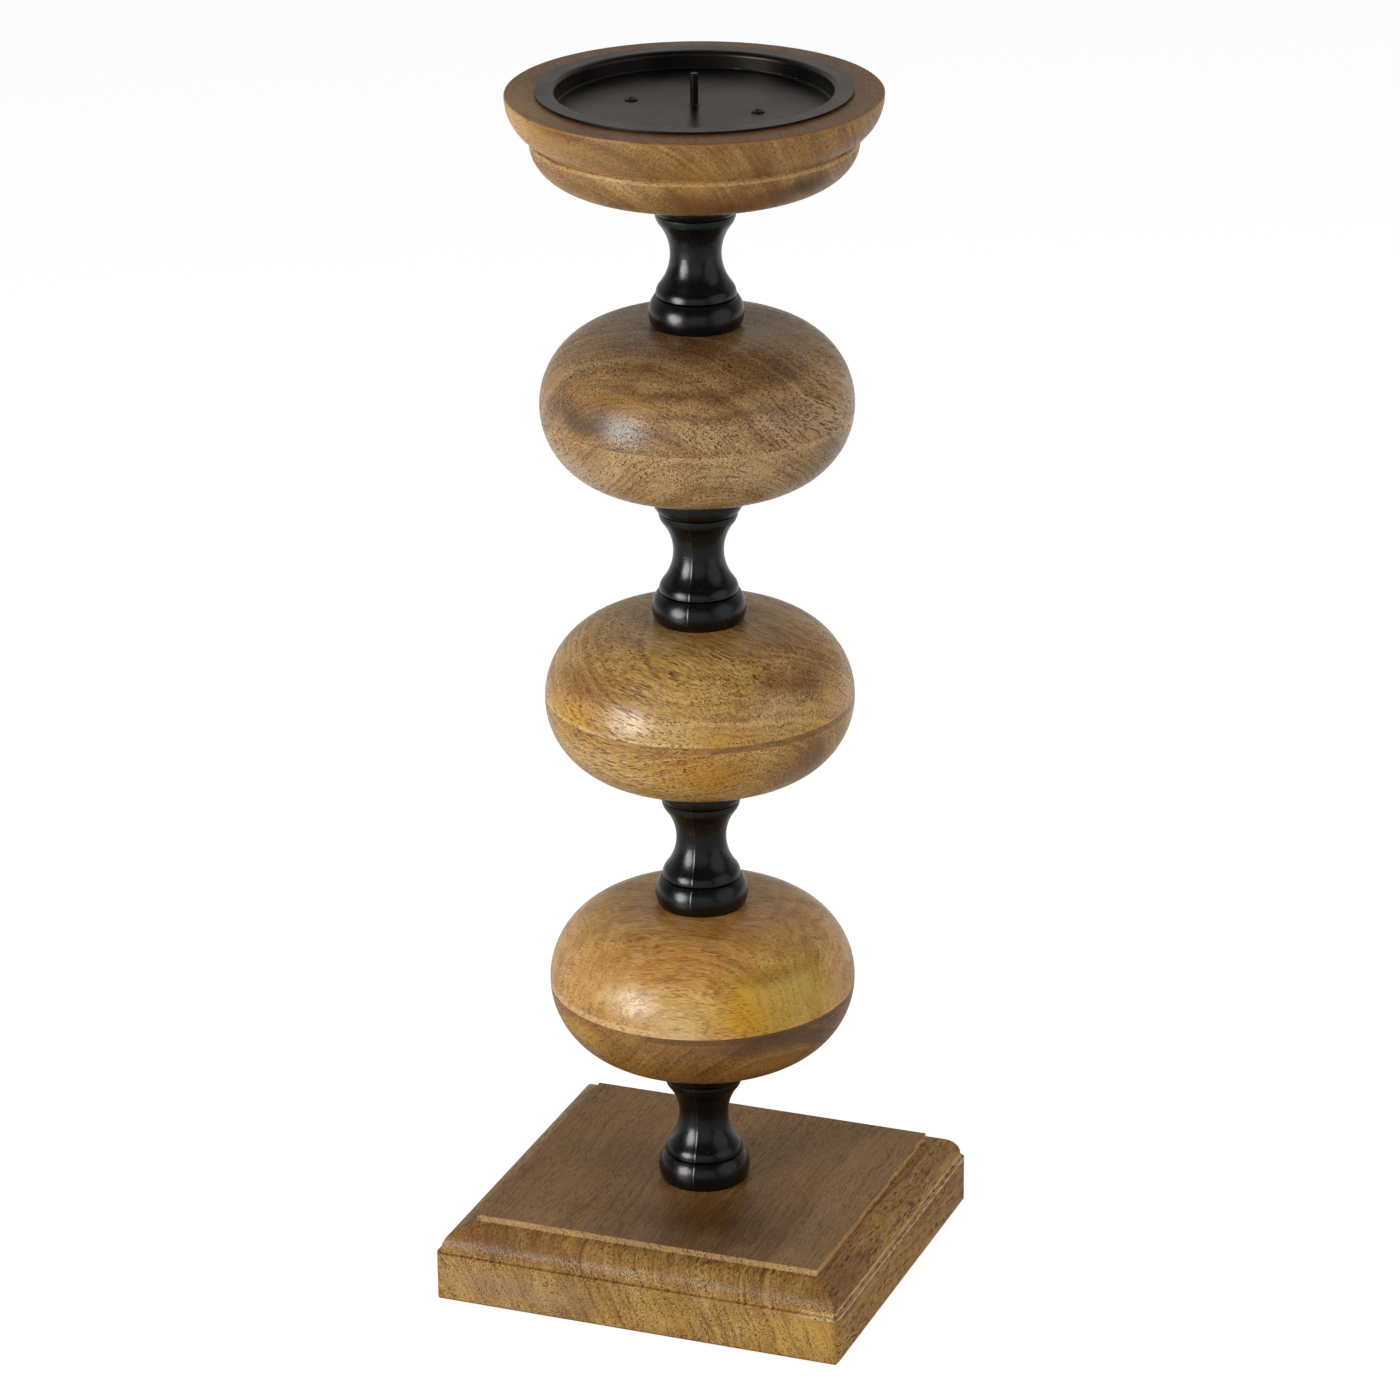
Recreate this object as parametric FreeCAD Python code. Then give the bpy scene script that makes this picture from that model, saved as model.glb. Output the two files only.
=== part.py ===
import FreeCAD, Part
import math
import os

# A pricket candle stand: a moulded wooden base, four cast spacers and three turned wooden
# balls threaded on one steel rod, with a wooden cup, a pressed steel pan and a spike on top.
# Lengths are in millimetres. +Z is up. The origin is on the surface that the stand rests on,
# under the middle of the base, and the rod runs up the Z axis.
# Outlines of turned pieces are drawn in the XZ plane, with X as the radius.

# Base board
base_width = 160.0
base_depth = 148.0
base_side_height = 19.0
base_panel_rise = 12.5
base_panel_inset = 12.4
base_panel_lip = 2.6
base_quirk_width = 1.8
base_quirk_height = 0.9
base_under_chamfer = 1.2
base_corner_radius = 3.0

# Felt pads under the base
pad_radius = 8.0
pad_thickness = 1.5
pad_inset = 17.0

# Threaded rod, and the bores that it passes through
rod_radius = 4.0
rod_end_chamfer = 0.8
rod_past_nut = 1.6
bore_clearance = 0.5
thread_clearance = 0.05

# Washers, nuts and the wells that hide them
washer_radius = 12.0
washer_thickness = 2.0
nut_across_flats = 13.0
nut_height = 6.5
nut_chamfer = 0.7
well_clearance = 1.0

# Cast spacer, alike at both ends
spacer_height = 52.8
spacer_end_radius = 16.2
spacer_ring_radius = 17.3
spacer_ring_height = 10.6
spacer_ring_top_radius = 15.1
spacer_groove_width = 0.7
spacer_groove_depth = 0.6
spacer_shoulder_radius = 14.6
spacer_shoulder_arc = 6.0
spacer_neck_radius = 9.3
spacer_ring_bulge_share = 0.4

# Turned ball, glued up from two halves. The glue line lies a little above or below the widest
# circle, as the two boards were not of one thickness. Balls are numbered from the lowest.
ball_radius = 57.0
ball_half_height = 30.0
ball_crown_arc = 90.0
ball_seat_margin = 2.8
ball_glue_bevel = 0.08
ball_1_glue_drop = 1.2
ball_2_glue_drop = -1.0
ball_3_glue_drop = 1.5

# Cup
cup_radius = 67.5
cup_height = 33.3
cup_top_arris = 0.6
cup_band_taper = 8.9
cup_lower_height = 17.0
cup_lower_radius = 58.9
cup_lower_round = 1.1
cup_groove_width = 0.6
cup_groove_depth = 1.0
cup_underside_radius = 38.2

# Pan
pan_flange_radius = 56.7
pan_wall_radius = 49.4
pan_depth = 6.6
pan_sheet = 0.8
pan_roll = 1.8
pan_floor_corner = 0.7
pan_flange_gap = 0.3
pan_side_clearance = 0.4

# Spike, with the bead of weld round its foot
spike_radius = 1.45
spike_height = 12.0
spike_tip_chamfer = 0.35
weld_radius = 3.6
weld_height = 1.0

# Screws that hold the pan down
screw_spacing = 48.0
screw_head_radius = 2.4
screw_head_height = 1.0
screw_head_edge = 0.35
screw_shank_radius = 1.4
screw_length = 14.0
screw_tip_length = 2.0
screw_slot_width = 0.55
screw_slot_length = 2.8
screw_slot_depth = 0.5
screw_hole_clearance = 0.25
screw_thread_clearance = 0.05

# How far a cutting tool runs past the face that it starts from
overrun = 1.0

nut_sides = 6
full_turn = 360

# Sizes and counts that follow from the ones above
ball_glue_drops = (ball_1_glue_drop, ball_2_glue_drop, ball_3_glue_drop)
ball_count = len(ball_glue_drops)
spacer_count = ball_count + 1
bore_radius = rod_radius + bore_clearance
well_radius = washer_radius + well_clearance
fastener_stack = washer_thickness + nut_height + rod_past_nut
well_depth = fastener_stack + well_clearance
base_underside = pad_thickness
base_top = base_underside + base_side_height + base_panel_rise
ball_height = 2 * ball_half_height
ball_seat_radius = spacer_end_radius + ball_seat_margin
stack_pitch = spacer_height + ball_height
cup_underside = base_top + spacer_count * spacer_height + ball_count * ball_height
cup_top = cup_underside + cup_height
pan_recess_depth = pan_depth - pan_flange_gap
pan_recess_floor = cup_top - pan_recess_depth
pan_floor = pan_recess_floor + pan_sheet

Z_AXIS = FreeCAD.Vector(0, 0, 1)
X_AXIS = FreeCAD.Vector(1, 0, 0)
ORIGIN = FreeCAD.Vector(0, 0, 0)


def at(radius, height):
    """A point of an outline in the XZ plane."""
    return FreeCAD.Vector(radius, 0, height)


def line(start, end):
    return Part.LineSegment(start, end).toShape()


def lines(points):
    """Straight edges from each point to the next."""
    return [line(start, end) for start, end in zip(points, points[1:])]


def on_circle(centre, radius, angle):
    """The point of a circle in the XZ plane at an angle in radians from +X."""
    return centre + at(radius * math.cos(angle), radius * math.sin(angle))


def arc(centre, radius, start, end):
    """A round edge between two angles, in radians, about a centre."""
    middle = on_circle(centre, radius, (start + end) / 2)
    return Part.Arc(on_circle(centre, radius, start), middle, on_circle(centre, radius, end)).toShape()


def quarter_ellipse(centre, across, up, start, end):
    """A quarter of an upright ellipse, as the span of an oval between two angles."""
    curve = Part.Ellipse(centre + at(across, 0), centre + at(0, up), centre)
    if up > across:
        curve = Part.Ellipse(centre + at(0, up), centre - at(across, 0), centre)
        start = start - math.pi / 2
        end = end - math.pi / 2
    return Part.ArcOfEllipse(curve, start, end).toShape()


def turned(edges):
    """A solid turned about the Z axis from its closed outline."""
    outline = Part.Wire(Part.__sortEdges__(edges))
    return Part.Face(outline).revolve(ORIGIN, Z_AXIS, full_turn)


def raised(shape, height):
    moved = shape.copy()
    moved.translate(at(0, height))
    return moved


def turned_over(shape):
    """The shape upside down, turned about the X axis."""
    moved = shape.copy()
    moved.rotate(ORIGIN, X_AXIS, full_turn / 2)
    return moved


def rod_bore(bottom, top):
    """The drill that clears the rod between two heights."""
    return Part.makeCylinder(bore_radius, top - bottom + 2 * overrun, at(0, bottom - overrun))


def moulding_section(half_width):
    """Half the base's section from the middle out: side, quirk, ovolo, lip and raised panel."""
    side_top = base_side_height
    ovolo_foot = side_top + base_quirk_height
    panel_top = base_side_height + base_panel_rise
    ovolo_head = panel_top - base_panel_lip
    panel_edge = half_width - base_panel_inset
    quirk_edge = half_width - base_quirk_width
    under_and_side = lines([
        at(0, 0),
        at(half_width - base_under_chamfer, 0),
        at(half_width, base_under_chamfer),
        at(half_width, side_top),
        at(quirk_edge, side_top),
        at(quirk_edge, ovolo_foot),
    ])
    ovolo = quarter_ellipse(at(panel_edge, ovolo_foot), quirk_edge - panel_edge,
                            ovolo_head - ovolo_foot, 0, math.pi / 2)
    panel = lines([at(panel_edge, ovolo_head), at(panel_edge, panel_top), at(0, panel_top), at(0, 0)])
    return Part.Face(Part.Wire(Part.__sortEdges__(under_and_side + [ovolo] + panel)))


def moulded_bar(width, length):
    """A bar along Y with the base's moulding on its two long sides."""
    right = moulding_section(width / 2).extrude(FreeCAD.Vector(0, length, 0))
    left = right.mirror(ORIGIN, X_AXIS)
    bar = right.fuse(left).removeSplitter()
    bar.translate(FreeCAD.Vector(0, -length / 2, 0))
    return bar


def make_base_board():
    """Two crossed moulded bars share the base, so the moulding is mitred at each corner."""
    bar = moulded_bar(base_width, base_depth)
    crossed = moulded_bar(base_depth, base_width)
    crossed.rotate(ORIGIN, Z_AXIS, full_turn / 4)
    board = bar.common(crossed)
    height = base_side_height + base_panel_rise
    block = Part.makeBox(base_width, base_depth, height, FreeCAD.Vector(-base_width / 2, -base_depth / 2, 0))
    upright = [edge for edge in block.Edges if edge.BoundBox.ZLength > base_side_height]
    board = board.common(block.makeFillet(base_corner_radius, upright))
    well = Part.makeCylinder(well_radius, well_depth + overrun, at(0, -overrun))
    board = board.cut(well).cut(rod_bore(0, height))
    return raised(board, base_underside)


def make_felt_pads():
    """Four felt discs, one near each corner of the base's underside."""
    across = base_width / 2 - pad_inset
    along = base_depth / 2 - pad_inset
    pads = []
    for x in (-across, across):
        for y in (-along, along):
            pads.append(Part.makeCylinder(pad_radius, pad_thickness, FreeCAD.Vector(x, y, 0)))
    return Part.makeCompound(pads)


def make_threaded_rod():
    """The rod, from just inside the base's well to just past the nut in the cup's well."""
    bottom = base_underside + well_depth - fastener_stack
    top = pan_recess_floor - well_depth + fastener_stack
    end_radius = rod_radius - rod_end_chamfer
    return turned(lines([
        at(0, bottom),
        at(end_radius, bottom),
        at(rod_radius, bottom + rod_end_chamfer),
        at(rod_radius, top - rod_end_chamfer),
        at(end_radius, top),
        at(0, top),
        at(0, bottom),
    ]))


def make_washer():
    """A flat washer, standing on height zero."""
    disc = Part.makeCylinder(washer_radius, washer_thickness)
    return disc.cut(Part.makeCylinder(bore_radius, washer_thickness + 2 * overrun, at(0, -overrun)))


def make_nut():
    """A hexagon nut with chamfered corners, standing on height zero."""
    corner = nut_across_flats / 2 / math.cos(math.pi / nut_sides)
    corners = []
    for number in range(nut_sides + 1):
        turn = 2 * math.pi * number / nut_sides
        corners.append(FreeCAD.Vector(corner * math.cos(turn), corner * math.sin(turn), 0))
    prism = Part.Face(Part.makePolygon(corners)).extrude(at(0, nut_height))
    blank = turned(lines([
        at(0, 0),
        at(corner - nut_chamfer, 0),
        at(corner, nut_chamfer),
        at(corner, nut_height - nut_chamfer),
        at(corner - nut_chamfer, nut_height),
        at(0, nut_height),
        at(0, 0),
    ]))
    hole = Part.makeCylinder(rod_radius + thread_clearance, nut_height + 2 * overrun, at(0, -overrun))
    return prism.common(blank).cut(hole)


def half_spacer_outline():
    """The spacer's outside from its foot to the neck at mid height."""
    ring_middle = at(spacer_ring_radius, spacer_ring_height * spacer_ring_bulge_share)
    ring_top = at(spacer_ring_top_radius, spacer_ring_height)
    ring = Part.Arc(at(spacer_end_radius, 0), ring_middle, ring_top).toShape()
    shoulder_foot = spacer_ring_height + spacer_groove_width
    groove = lines([
        ring_top,
        at(spacer_shoulder_radius - spacer_groove_depth, spacer_ring_height + spacer_groove_width / 2),
        at(spacer_shoulder_radius, shoulder_foot),
    ])
    # The shoulder rounds over into the hollow of the neck: two arcs that touch in one direction.
    draw_in = spacer_shoulder_radius - spacer_neck_radius
    rise = spacer_height / 2 - shoulder_foot
    arcs_together = (draw_in ** 2 + rise ** 2) / (2 * draw_in)
    hollow_arc = arcs_together - spacer_shoulder_arc
    turn = math.atan2(rise, arcs_together - draw_in)
    shoulder_centre = at(spacer_shoulder_radius - spacer_shoulder_arc, shoulder_foot)
    hollow_centre = at(spacer_neck_radius + hollow_arc, spacer_height / 2)
    shoulder = arc(shoulder_centre, spacer_shoulder_arc, 0, turn)
    hollow = arc(hollow_centre, hollow_arc, math.pi + turn, math.pi)
    return [ring] + groove + [shoulder, hollow]


def make_spacer():
    """One cast spacer, standing on height zero."""
    closing = lines([
        at(spacer_neck_radius, spacer_height / 2),
        at(bore_radius, spacer_height / 2),
        at(bore_radius, 0),
        at(spacer_end_radius, 0),
    ])
    lower = turned(half_spacer_outline() + closing)
    upper = raised(turned_over(lower), spacer_height)
    return lower.fuse(upper).removeSplitter()


def make_ball_half(cut_height):
    """A ball's part above a cut, placed with the widest circle at height zero and the seat on top."""
    reach = ball_radius - ball_seat_radius
    side_arc = ((2 * ball_half_height * ball_crown_arc - reach ** 2 - ball_half_height ** 2)
                / (2 * (ball_crown_arc - reach)))
    side_centre = at(ball_radius - side_arc, 0)
    crown_centre = at(ball_seat_radius, ball_half_height - ball_crown_arc)
    meeting = math.atan2(side_centre.z - crown_centre.z, side_centre.x - crown_centre.x)
    bevel_turn = math.asin((cut_height + ball_glue_bevel) / side_arc)
    side = arc(side_centre, side_arc, bevel_turn, meeting)
    crown = arc(crown_centre, ball_crown_arc, meeting, math.pi / 2)
    bevel_top = on_circle(side_centre, side_arc, bevel_turn)
    closing = lines([
        at(ball_seat_radius, ball_half_height),
        at(bore_radius, ball_half_height),
        at(bore_radius, cut_height),
        at(bevel_top.x - ball_glue_bevel, cut_height),
        bevel_top,
    ])
    return turned([side, crown] + closing)


def cup_outline():
    """The cup's outline, from the underside round both bands to the top and down the middle."""
    lower_rise = cup_lower_height - cup_lower_round
    lower_band = quarter_ellipse(at(cup_underside_radius, lower_rise),
                                 cup_lower_radius - cup_underside_radius, lower_rise, -math.pi / 2, 0)
    lip_inside = cup_lower_radius - cup_lower_round
    lower_lip = arc(at(lip_inside, lower_rise), cup_lower_round, 0, math.pi / 2)
    band_foot = at(cup_radius - cup_band_taper, cup_lower_height + cup_groove_width)
    groove = lines([
        at(lip_inside, cup_lower_height),
        at(band_foot.x - cup_groove_depth, cup_lower_height + cup_groove_width / 2),
        band_foot,
    ])
    arris_foot = cup_height - cup_top_arris
    band_height = arris_foot - band_foot.z
    band_arc = (cup_band_taper ** 2 + band_height ** 2) / (2 * cup_band_taper)
    band = arc(at(cup_radius - band_arc, arris_foot), band_arc, -math.asin(band_height / band_arc), 0)
    arris = arc(at(cup_radius - cup_top_arris, arris_foot), cup_top_arris, 0, math.pi / 2)
    closing = lines([
        at(cup_radius - cup_top_arris, cup_height),
        at(0, cup_height),
        at(0, 0),
        at(cup_underside_radius, 0),
    ])
    return [lower_band, lower_lip] + groove + [band, arris] + closing


def screw_places():
    """Where the two pan screws stand, either side of the spike."""
    return [FreeCAD.Vector(side * screw_spacing / 2, 0, pan_floor) for side in (-1, 1)]


def make_cup():
    """The cup, with the pan's recess, the nut's well, the rod's bore and two pilot holes."""
    cup = raised(turned(cup_outline()), cup_underside)
    recess_radius = pan_wall_radius + pan_sheet + pan_side_clearance
    cup = cup.cut(Part.makeCylinder(recess_radius, pan_recess_depth + overrun, at(0, pan_recess_floor)))
    cup = cup.cut(Part.makeCylinder(well_radius, well_depth + overrun, at(0, pan_recess_floor - well_depth)))
    cup = cup.cut(rod_bore(cup_underside, pan_recess_floor))
    pilot = Part.makeCylinder(screw_shank_radius + screw_thread_clearance, screw_length + overrun)
    for place in screw_places():
        hole = pilot.copy()
        hole.translate(place - at(0, screw_length + overrun))
        cup = cup.cut(hole)
    return cup


def make_pan():
    """The pan, pressed from one sheet: floor, wall, rolled edge and flat flange."""
    outer_wall = pan_wall_radius + pan_sheet
    roll_centre = at(pan_wall_radius + pan_roll, pan_depth - pan_roll)
    corner_centre = at(pan_wall_radius - pan_floor_corner, pan_floor_corner)
    inner_roll = pan_roll - pan_sheet
    upper = lines([at(0, 0), at(pan_wall_radius - pan_floor_corner, 0)])
    upper.append(arc(corner_centre, pan_floor_corner, -math.pi / 2, 0))
    upper.append(line(at(pan_wall_radius, pan_floor_corner), at(pan_wall_radius, pan_depth - pan_roll)))
    upper.append(arc(roll_centre, pan_roll, math.pi, math.pi / 2))
    flange = lines([
        at(pan_wall_radius + pan_roll, pan_depth),
        at(pan_flange_radius, pan_depth),
        at(pan_flange_radius, pan_depth - pan_sheet),
        at(pan_wall_radius + pan_roll, pan_depth - pan_sheet),
    ])
    under = [arc(roll_centre, inner_roll, math.pi / 2, math.pi)]
    under.append(line(at(outer_wall, pan_depth - pan_roll), at(outer_wall, pan_floor_corner)))
    under.append(arc(corner_centre, pan_floor_corner + pan_sheet, 0, -math.pi / 2))
    under += lines([at(pan_wall_radius - pan_floor_corner, -pan_sheet), at(0, -pan_sheet), at(0, 0)])
    pan = raised(turned(upper + flange + under), pan_floor)
    punch = Part.makeCylinder(screw_shank_radius + screw_hole_clearance, pan_sheet + 2 * overrun)
    for place in screw_places():
        hole = punch.copy()
        hole.translate(place - at(0, pan_sheet + overrun))
        pan = pan.cut(hole)
    return pan


def make_spike():
    """The blunt spike, with a hollow-sided bead of weld where it stands on the pan's floor."""
    bead_reach = weld_radius - spike_radius
    bead = quarter_ellipse(at(weld_radius, weld_height), bead_reach, weld_height, math.pi, 3 * math.pi / 2)
    pin = lines([
        at(spike_radius, weld_height),
        at(spike_radius, spike_height - spike_tip_chamfer),
        at(spike_radius - spike_tip_chamfer, spike_height),
        at(0, spike_height),
        at(0, 0),
        at(weld_radius, 0),
    ])
    return raised(turned([bead] + pin), pan_floor)


def make_pan_screw():
    """A low domed screw with a cross slot, its head standing on height zero."""
    dome_rise = screw_head_height - screw_head_edge
    dome_arc = (screw_head_radius ** 2 + dome_rise ** 2) / (2 * dome_rise)
    dome_edge = math.acos(screw_head_radius / dome_arc)
    dome = arc(at(0, screw_head_height - dome_arc), dome_arc, dome_edge, math.pi / 2)
    body = turned([dome] + lines([
        at(screw_head_radius, screw_head_edge),
        at(screw_head_radius, 0),
        at(screw_shank_radius, 0),
        at(screw_shank_radius, screw_tip_length - screw_length),
        at(0, -screw_length),
        at(0, screw_head_height),
    ]))
    for length, width in ((screw_slot_length, screw_slot_width), (screw_slot_width, screw_slot_length)):
        corner = FreeCAD.Vector(-length / 2, -width / 2, screw_head_height - screw_slot_depth)
        body = body.cut(Part.makeBox(length, width, screw_slot_depth + overrun, corner))
    return body


def make_pan_screws():
    screws = []
    for place in screw_places():
        screw = make_pan_screw()
        screw.translate(place)
        screws.append(screw)
    return Part.makeCompound(screws)


def build_nodes():
    """Every piece of the stand by name, from the surface that it rests on upwards."""
    base_well_top = base_underside + well_depth
    cup_well_floor = pan_recess_floor - well_depth
    washer = make_washer()
    nut = make_nut()
    nodes = {
        "base_board": make_base_board(),
        "felt_pads": make_felt_pads(),
        "threaded_rod": make_threaded_rod(),
        "base_washer": raised(washer, base_well_top - washer_thickness),
        "base_nut": raised(nut, base_well_top - washer_thickness - nut_height),
        "cup_washer": raised(washer, cup_well_floor),
        "cup_nut": raised(nut, cup_well_floor + washer_thickness),
        "cup": make_cup(),
        "pan": make_pan(),
        "spike": make_spike(),
        "pan_screws": make_pan_screws(),
    }
    spacer = make_spacer()
    for number in range(spacer_count):
        nodes["spacer_%d" % (number + 1)] = raised(spacer, base_top + number * stack_pitch)
    for number, glue_drop in enumerate(ball_glue_drops):
        middle = base_top + number * stack_pitch + spacer_height + ball_half_height
        lower_half = turned_over(make_ball_half(glue_drop))
        upper_half = make_ball_half(-glue_drop)
        nodes["ball_%d_lower_half" % (number + 1)] = raised(lower_half, middle)
        nodes["ball_%d_upper_half" % (number + 1)] = raised(upper_half, middle)
    return nodes


os.makedirs("parts", exist_ok=True)
for name, shape in build_nodes().items():
    shape.exportStep(os.path.join("parts", name + ".step"))
    print(name, "solids", len(shape.Solids), "volume", round(shape.Volume), "valid", shape.isValid())
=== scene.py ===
import math

import bpy
from mathutils import Matrix, Vector

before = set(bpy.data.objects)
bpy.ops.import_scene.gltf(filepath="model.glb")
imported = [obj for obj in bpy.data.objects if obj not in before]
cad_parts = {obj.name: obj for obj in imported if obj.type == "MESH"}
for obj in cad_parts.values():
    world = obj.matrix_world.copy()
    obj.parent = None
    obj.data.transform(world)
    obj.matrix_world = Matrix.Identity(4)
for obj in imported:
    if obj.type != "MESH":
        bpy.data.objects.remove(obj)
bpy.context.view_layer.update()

# Camera
# The stand is seen from a little above, with its corner turned to the viewer.
PHOTO_WIDTH = 1400
FOCAL_PIXELS = 5922.0
SENSOR = 36.0
CAMERA_TURN = math.radians(21.113)
CAMERA_RISE = math.radians(21.457)
CAMERA_ROLL = math.radians(-0.547)
CAMERA_DISTANCE = 2.1782
CAMERA_TARGET = Vector((0.0, 0.0, 0.2261))


def camera_axes():
    back = Vector((
        math.sin(CAMERA_TURN) * math.cos(CAMERA_RISE),
        -math.cos(CAMERA_TURN) * math.cos(CAMERA_RISE),
        math.sin(CAMERA_RISE),
    ))
    level = Vector((math.cos(CAMERA_TURN), math.sin(CAMERA_TURN), 0.0))
    upright = level.cross(-back)
    right = level * math.cos(CAMERA_ROLL) + upright * math.sin(CAMERA_ROLL)
    up = upright * math.cos(CAMERA_ROLL) - level * math.sin(CAMERA_ROLL)
    return right, up, back


def make_camera():
    right, up, back = camera_axes()
    data = bpy.data.cameras.new("camera")
    data.sensor_width = SENSOR
    data.lens = FOCAL_PIXELS * SENSOR / PHOTO_WIDTH
    data.dof.use_dof = False
    data.clip_start = 0.05
    data.clip_end = 50.0
    camera = bpy.data.objects.new("camera", data)
    bpy.context.scene.collection.objects.link(camera)
    turn = Matrix((right, up, back)).transposed().to_4x4()
    turn.translation = CAMERA_TARGET + back * CAMERA_DISTANCE
    camera.matrix_world = turn
    bpy.context.scene.camera = camera


def toward(azimuth, rise=0.0):
    """Direction by its angle to the right of the viewer's and its rise, in degrees."""
    a = math.radians(azimuth)
    e = math.radians(rise)
    front = Vector((math.sin(CAMERA_TURN), -math.cos(CAMERA_TURN), 0.0))
    right = Vector((math.cos(CAMERA_TURN), math.sin(CAMERA_TURN), 0.0))
    flat = front * math.cos(a) + right * math.sin(a)
    return flat * math.cos(e) + Vector((0.0, 0.0, math.sin(e)))


# Node helpers

MILLIMETRES = 1000.0

# Sockets of a mix node set to colours: share, first and second colour, and result
MIX_SHARE, MIX_FIRST, MIX_SECOND, MIX_RESULT = 0, 6, 7, 2


def linear(colour):
    """A colour given in 0 to 255 display values, as linear light."""
    out = []
    for c in colour:
        c = c / 255.0
        out.append(c / 12.92 if c <= 0.04045 else ((c + 0.055) / 1.055) ** 2.4)
    return (out[0], out[1], out[2], 1.0)


class Graph:
    """A node tree whose calls take and return sockets or plain values."""

    def __init__(self, tree):
        self.tree = tree
        tree.nodes.clear()

    def put(self, socket, value):
        if isinstance(value, bpy.types.NodeSocket):
            self.tree.links.new(value, socket)
        elif value is not None:
            socket.default_value = value

    def node(self, kind, inputs=None, **settings):
        made = self.tree.nodes.new(kind)
        for key, value in settings.items():
            setattr(made, key, value)
        for key, value in (inputs or {}).items():
            self.put(made.inputs[key], value)
        return made

    def math(self, operation, a, b=0.0, c=0.0, clamp=False):
        made = self.node("ShaderNodeMath", {0: a, 1: b, 2: c}, operation=operation, use_clamp=clamp)
        return made.outputs[0]

    def add(self, a, b):
        return self.math("ADD", a, b)

    def times(self, a, b):
        return self.math("MULTIPLY", a, b)

    def vector(self, operation, a, b=(0.0, 0.0, 0.0), scale=1.0):
        made = self.node("ShaderNodeVectorMath", {0: a}, operation=operation)
        if operation == "SCALE":
            self.put(made.inputs["Scale"], scale)
        elif operation != "LENGTH":
            self.put(made.inputs[1], b)
        return made.outputs["Value" if operation in ("DOT_PRODUCT", "LENGTH") else "Vector"]

    def along(self, vector, way):
        """How far a point lies in a direction."""
        return self.vector("DOT_PRODUCT", vector, tuple(way))

    def centred(self, vector, step):
        """A colour noise as a shift round zero, by its step on each axis."""
        return self.vector("MULTIPLY", self.vector("SUBTRACT", vector, (0.5, 0.5, 0.5)), step)

    def point(self, x, y, z):
        return self.node("ShaderNodeCombineXYZ", {0: x, 1: y, 2: z}).outputs[0]

    def parts(self, vector):
        return self.node("ShaderNodeSeparateXYZ", {0: vector}).outputs

    def noise(self, vector, scale, detail=2.0, rough=0.5, distortion=0.0, colour=False):
        made = self.node("ShaderNodeTexNoise", {
            "Vector": vector, "Scale": scale, "Detail": detail, "Roughness": rough, "Distortion": distortion,
        })
        return made.outputs["Color" if colour else "Fac"]

    def noise_line(self, w, scale, detail=2.0, rough=0.5):
        made = self.node("ShaderNodeTexNoise", noise_dimensions="1D")
        for name, value in (("W", w), ("Scale", scale), ("Detail", detail), ("Roughness", rough)):
            self.put(made.inputs[name], value)
        return made.outputs["Fac"]

    def cells(self, vector, scale=1.0):
        made = self.node("ShaderNodeTexVoronoi", {"Vector": vector, "Scale": scale})
        return made.outputs["Distance"], made.outputs["Color"]

    def span(self, value, low, high, to_low=0.0, to_high=1.0, smooth=True):
        made = self.node("ShaderNodeMapRange", {
            "Value": value, "From Min": low, "From Max": high, "To Min": to_low, "To Max": to_high,
        }, interpolation_type="SMOOTHSTEP" if smooth else "LINEAR")
        return made.outputs["Result"]

    def mix(self, share, a, b, blend="MIX"):
        made = self.node("ShaderNodeMix", data_type="RGBA", blend_type=blend)
        self.put(made.inputs[MIX_SHARE], share)
        self.put(made.inputs[MIX_FIRST], a)
        self.put(made.inputs[MIX_SECOND], b)
        return made.outputs[MIX_RESULT]

    def ramp(self, value, stops):
        made = self.node("ShaderNodeValToRGB", {"Fac": value})
        ramp = made.color_ramp
        while len(ramp.elements) < len(stops):
            ramp.elements.new(0.5)
        for element, (place, colour) in zip(ramp.elements, stops):
            element.position = place
            element.color = colour
        return made.outputs["Color"]

    def bump(self, height, distance, strength, normal=None):
        made = self.node("ShaderNodeBump", {"Height": height, "Distance": distance, "Strength": strength})
        if normal is not None:
            self.put(made.inputs["Normal"], normal)
        return made.outputs["Normal"]

    def grey(self, value):
        return self.node("ShaderNodeCombineColor", {0: value, 1: value, 2: value}).outputs[0]

    def surface(self, **inputs):
        names = {
            "colour": "Base Color", "rough": "Roughness", "metal": "Metallic", "normal": "Normal",
            "specular": "Specular IOR Level", "tint": "Specular Tint", "sheen": "Sheen Weight",
            "sheen_rough": "Sheen Roughness",
        }
        shader = self.node("ShaderNodeBsdfPrincipled", {names[k]: v for k, v in inputs.items()})
        self.node("ShaderNodeOutputMaterial", {"Surface": shader.outputs[0]})


def new_material(name):
    material = bpy.data.materials.new(name)
    material.use_nodes = True
    return material, Graph(material.node_tree)


def millimetres(graph, centre=(0.0, 0.0, 0.0)):
    """The point on the part in millimetres, from a centre."""
    place = graph.node("ShaderNodeTexCoord").outputs["Object"]
    place = graph.vector("SCALE", place, scale=MILLIMETRES)
    return graph.vector("SUBTRACT", place, centre)


# Wood
# Fibres run through each blank. Growth rings are tubes round the pith, which the turned surface cuts
# into arcs. Vessels are short tubes along the fibres: dashes on side grain, dots on end grain. Grains
# say how often a pattern repeats for each millimetre along the fibre, to its side and above it.

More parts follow.
